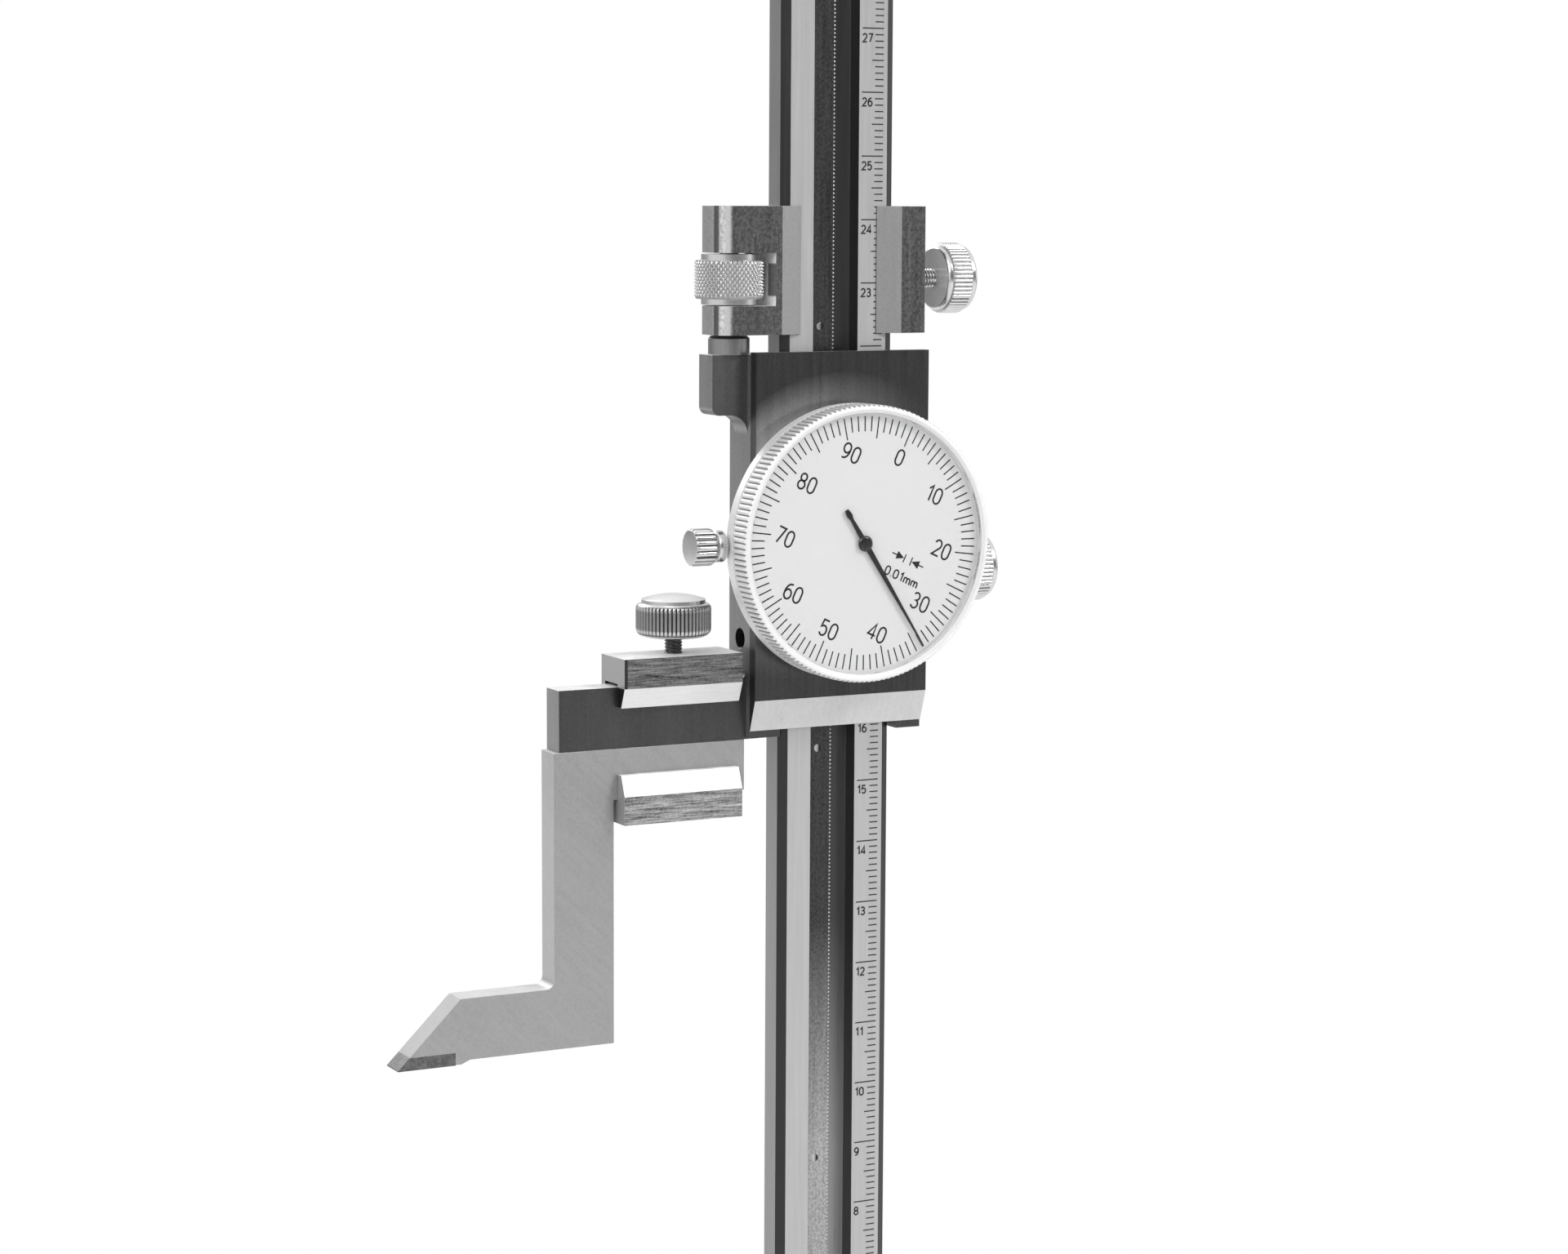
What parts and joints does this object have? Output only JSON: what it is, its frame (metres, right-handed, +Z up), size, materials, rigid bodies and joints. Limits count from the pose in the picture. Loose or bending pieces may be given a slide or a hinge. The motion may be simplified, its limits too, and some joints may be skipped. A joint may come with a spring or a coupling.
{
  "type": "dial height gauge",
  "caption": "Dial height gauge: a base and upright beam with a geared slider, dial, fine adjustment and a clamped scriber.",
  "frame": {"origin": "on the underside of the base, straight below the middle of the beam's front face", "axes": "+Z up along the beam, the dial faces -Y, the scriber reaches towards -X"},
  "size_m": [0.151, 0.07, 0.451],
  "materials": {
    "base_iron": "painted top, ground underside",
    "dark_steel": "brushed",
    "black_steel": "black oxide",
    "satin_chrome": "satin chromed",
    "tool_steel": "ground",
    "gear_brass": "cut",
    "gib_brass": "milled",
    "bright_chrome": "bright chromed",
    "pale_aluminium": "satin anodised",
    "dial_paint": "matt enamel",
    "crystal_glass": "clear",
    "pointer_paint": "matt black",
    "carbide": "ground and lapped"
  },
  "bodies": {
    "stand": {"base": "base_iron", "column_block": "dark_steel", "column_screws": "black_steel", "column_grub_screw": "black_steel", "beam": "satin_chrome", "top_stop": "dark_steel", "top_stop_screws": "black_steel", "rack": "tool_steel", "rack_pins": "tool_steel"},
    "slider": {"slider_body": "dark_steel", "front_plate": "dark_steel", "front_plate_screws": "black_steel", "gib": "gib_brass", "gib_screws": "black_steel", "fine_stud": "bright_chrome", "dial_case": "pale_aluminium", "bezel_snap_ring": "tool_steel", "movement_bridge": "gib_brass"},
    "rack_gear": {"rack_pinion": "gear_brass"},
    "pointer_body": {"centre_pinion": "gear_brass", "pointer": "pointer_paint"},
    "take_up": {"take_up_gear": "gear_brass"},
    "bezel_body": {"bezel": "pale_aluminium", "dial_face": "dial_paint", "dial_ring": "pale_aluminium", "crystal": "crystal_glass"},
    "bezel_screw": {"bezel_lock_screw": "bright_chrome"},
    "slider_lock": {"slider_lock_knob": "bright_chrome"},
    "carrier_body": {"carrier": "dark_steel", "carrier_pad": "gib_brass"},
    "carrier_lock": {"carrier_lock_knob": "bright_chrome"},
    "nut": {"fine_nut": "bright_chrome"},
    "clamp_body": {"clamp": "dark_steel"},
    "clamp_screw": {"clamp_knob": "bright_chrome"},
    "scriber_body": {"scriber": "tool_steel", "carbide_tip": "carbide"}
  },
  "joints": [
    {"name": "slider_travel", "type": "slide", "parent": "stand", "child": "slider", "axis": [0, 0, 1], "range_m": [-0.15934, 0.14066]},
    {"name": "rack_pinion_spin", "type": "hinge", "parent": "slider", "child": "rack_gear", "pos_m": [0.00135, 0, 0.2303], "axis": [0, 1, 0], "continuous": true},
    {"name": "pointer_spin", "type": "hinge", "parent": "slider", "child": "pointer_body", "pos_m": [0, 0, 0.23844], "axis": [0, 1, 0], "continuous": true},
    {"name": "take_up_spin", "type": "hinge", "parent": "slider", "child": "take_up", "pos_m": [0, 0, 0.24669], "axis": [0, 1, 0], "continuous": true},
    {"name": "bezel_turn", "type": "hinge", "parent": "slider", "child": "bezel_body", "pos_m": [0, 0, 0.23844], "axis": [0, 1, 0], "continuous": true},
    {"name": "bezel_screw_turn", "type": "hinge", "parent": "slider", "child": "bezel_screw", "pos_m": [-0.025, -0.0038, 0.23844], "axis": [-1, 0, 0], "range_deg": [0, 360]},
    {"name": "slider_lock_turn", "type": "hinge", "parent": "slider", "child": "slider_lock", "pos_m": [0.023, 0.0028, 0.23264], "axis": [1, 0, 0], "range_deg": [0, 360]},
    {"name": "fine_travel", "type": "slide", "parent": "slider", "child": "carrier_body", "axis": [0, 0, 1], "range_m": [0, 0.006]},
    {"name": "fine_nut_turn", "type": "hinge", "parent": "carrier_body", "child": "nut", "pos_m": [-0.01765, 0.00332, 0.28], "axis": [0, 0, 1], "range_deg": [0, 4320.5]},
    {"name": "carrier_lock_turn", "type": "hinge", "parent": "carrier_body", "child": "carrier_lock", "pos_m": [0.019, 0.0028, 0.27964], "axis": [1, 0, 0], "range_deg": [0, 360]},
    {"name": "clamp_slide", "type": "slide", "parent": "slider", "child": "clamp_body", "axis": [1, 0, 0], "range_m": [-0.009, 0.0015]},
    {"name": "clamp_knob_turn", "type": "hinge", "parent": "clamp_body", "child": "clamp_screw", "pos_m": [-0.02725, 0.00332, 0.22], "axis": [0, 0, 1], "range_deg": [0, 720]},
    {"name": "scriber_slide", "type": "slide", "parent": "clamp_body", "child": "scriber_body", "axis": [1, 0, 0], "range_m": [-0.015, 0.0005]}
  ],
  "couplings": [
    {"joint": "rack_pinion_spin", "follows": "slider_travel", "rad_per_m": -628.32},
    {"joint": "pointer_spin", "follows": "slider_travel", "rad_per_m": 6283.2},
    {"joint": "take_up_spin", "follows": "slider_travel", "rad_per_m": -628.32},
    {"joint": "fine_nut_turn", "follows": "fine_travel", "rad_per_m": 12566}
  ]
}
